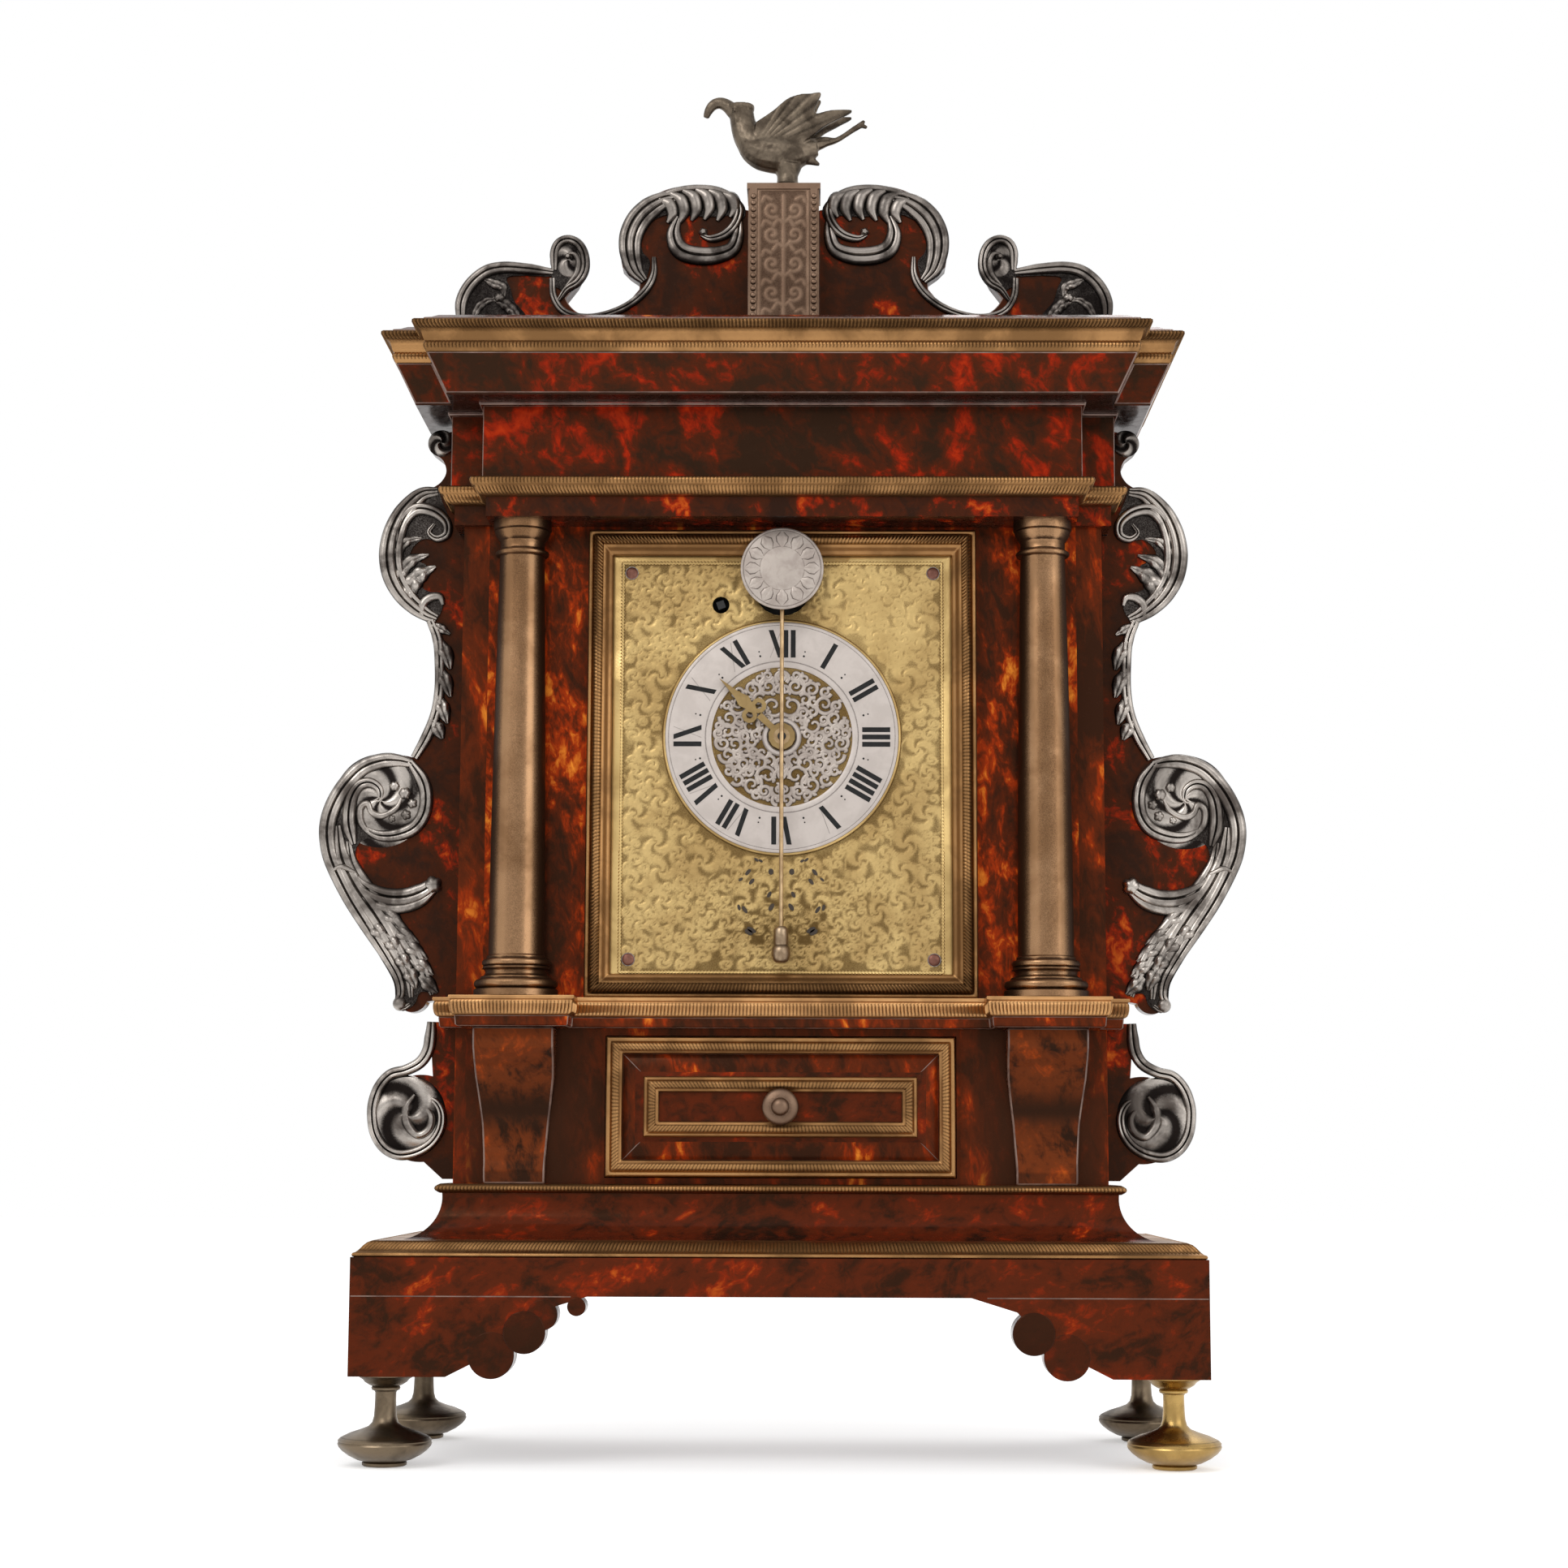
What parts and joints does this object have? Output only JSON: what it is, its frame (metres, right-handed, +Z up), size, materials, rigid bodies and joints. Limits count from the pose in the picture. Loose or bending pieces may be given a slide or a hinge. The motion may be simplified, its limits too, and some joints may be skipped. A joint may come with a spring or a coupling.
{
  "type": "table clock",
  "caption": "Altar-shaped table clock: veneered case on turned feet, brass mouldings, columns, scrolled silver ears and pediment, bird finial, drawer and a verge movement with front pendulum.",
  "frame": {"origin": "centre of the bounding box on the floor under the feet", "axes": "+Z up through the bird, -Y out of the dial, +X to the right of a viewer in front"},
  "size_m": [0.3582, 0.153, 0.5364],
  "materials": {
    "tortoiseshell": "tortoiseshell veneer on wood, polished",
    "carcass_wood": "plain softwood, waxed",
    "ebonised_wood": "ebonised, satin",
    "brass_ripple": "rippled sheet brass, aged",
    "brass_column": "turned brass, aged",
    "brass_dark": "turned brass, dark",
    "gilt_brass": "gilt and engraved",
    "engraved_brass": "engraved, copper-brown",
    "movement_brass": "filed brass",
    "silver": "embossed silver, oxidised in the recesses",
    "silvered": "silvered brass, matt",
    "steel": "filed steel",
    "bronze": "cast bronze, dark patina",
    "copper_rivet": "copper rivet heads, dark"
  },
  "bodies": {
    "case": {"feet": "brass_dark", "plinth_brackets": "tortoiseshell", "plinth_board": "tortoiseshell", "base_moulding": "brass_ripple", "scotia": "tortoiseshell", "scotia_moulding": "brass_ripple", "case_sides": "tortoiseshell", "case_shelves": "carcass_wood", "drawer_surround": "tortoiseshell", "corbels": "tortoiseshell", "waist_moulding": "brass_ripple", "column_left": "brass_column", "column_right": "brass_column", "dial_surround": "tortoiseshell", "dial_frame": "brass_ripple", "dial_plate": "gilt_brass", "dial_posts": "copper_rivet", "chapter_ring": "silvered", "dial_rosette": "silver", "architrave_band": "tortoiseshell", "architrave_moulding": "brass_ripple", "frieze": "tortoiseshell", "cornice": "tortoiseshell", "crown_moulding": "brass_ripple", "roof_board": "ebonised_wood", "pediment_boards": "tortoiseshell", "pediment_block": "engraved_brass", "pediment_scrolls": "silver", "bird_finial": "bronze", "ear_board_left": "tortoiseshell", "ear_board_right": "tortoiseshell", "ear_mount_left": "silver", "ear_mount_right": "silver", "back_frame": "ebonised_wood", "door_pins": "steel", "button_screw": "steel", "movement_front_plate": "movement_brass", "movement_back_plate": "movement_brass", "movement_pillars": "movement_brass", "potence": "movement_brass"},
    "drawer": {"drawer_box": "carcass_wood", "drawer_front": "tortoiseshell", "drawer_mouldings": "brass_ripple", "drawer_knob": "brass_column"},
    "back_door": {"back_door": "ebonised_wood"},
    "turn_button": {"turn_button": "movement_brass"},
    "pendulum": {"verge": "steel", "pendulum_rod": "steel", "pendulum_disc": "silvered", "pendulum_bob": "silvered"},
    "hand": {"hour_wheel": "movement_brass", "hour_hand": "gilt_brass"},
    "motion_pinion": {"motion_pinion": "steel"},
    "contrate": {"contrate_wheel": "movement_brass"},
    "third": {"third_wheel": "movement_brass"},
    "second": {"second_wheel": "movement_brass"},
    "barrel": {"barrel": "movement_brass"},
    "crown": {"crown_wheel": "movement_brass"},
    "winding": {"winding_arbor": "steel"}
  },
  "joints": [
    {"name": "drawer_slide", "type": "slide", "parent": "case", "child": "drawer", "axis": [0, -1, 0], "range_m": [0, 0.06]},
    {"name": "back_door_swing", "type": "hinge", "parent": "case", "child": "back_door", "pos_m": [-0.085, 0.0675, 0.263], "axis": [0, 0, 1], "range_deg": [0, 100]},
    {"name": "button_turn", "type": "hinge", "parent": "case", "child": "turn_button", "pos_m": [0.099, 0.073, 0.263], "axis": [0, 1, 0], "range_deg": [0, 90]},
    {"name": "pendulum_swing", "type": "hinge", "parent": "case", "child": "pendulum", "pos_m": [0, 0, 0.3335], "axis": [0, 1, 0], "range_deg": [-15, 15]},
    {"name": "hand_turn", "type": "hinge", "parent": "case", "child": "hand", "pos_m": [0, 0, 0.274], "axis": [0, 1, 0], "continuous": true},
    {"name": "motion_pinion_turn", "type": "hinge", "parent": "case", "child": "motion_pinion", "pos_m": [-0.02108, 0, 0.30619], "axis": [0, 1, 0], "continuous": true},
    {"name": "contrate_turn", "type": "hinge", "parent": "case", "child": "contrate", "pos_m": [0, 0, 0.30412], "axis": [0, 1, 0], "continuous": true},
    {"name": "third_turn", "type": "hinge", "parent": "case", "child": "third", "pos_m": [-0.01055, 0, 0.29013], "axis": [0, 1, 0], "continuous": true},
    {"name": "second_turn", "type": "hinge", "parent": "case", "child": "second", "pos_m": [-0.02108, 0, 0.30619], "axis": [0, 1, 0], "continuous": true},
    {"name": "barrel_turn", "type": "hinge", "parent": "case", "child": "barrel", "pos_m": [-0.0238, 0, 0.3258], "axis": [0, 1, 0], "continuous": true},
    {"name": "crown_turn", "type": "hinge", "parent": "case", "child": "crown", "pos_m": [0, -0.006, 0.3184], "axis": [0, 0, 1], "continuous": true},
    {"name": "winding_turn", "type": "hinge", "parent": "case", "child": "winding", "pos_m": [-0.0238, 0, 0.3258], "axis": [0, 1, 0], "continuous": true}
  ],
  "couplings": [
    {"joint": "motion_pinion_turn", "follows": "hand_turn", "ratio": -8},
    {"joint": "third_turn", "follows": "contrate_turn", "ratio": -0.14286},
    {"joint": "second_turn", "follows": "contrate_turn", "ratio": 0.020408},
    {"joint": "barrel_turn", "follows": "contrate_turn", "ratio": -0.0040816},
    {"joint": "crown_turn", "follows": "contrate_turn", "ratio": -7}
  ]
}
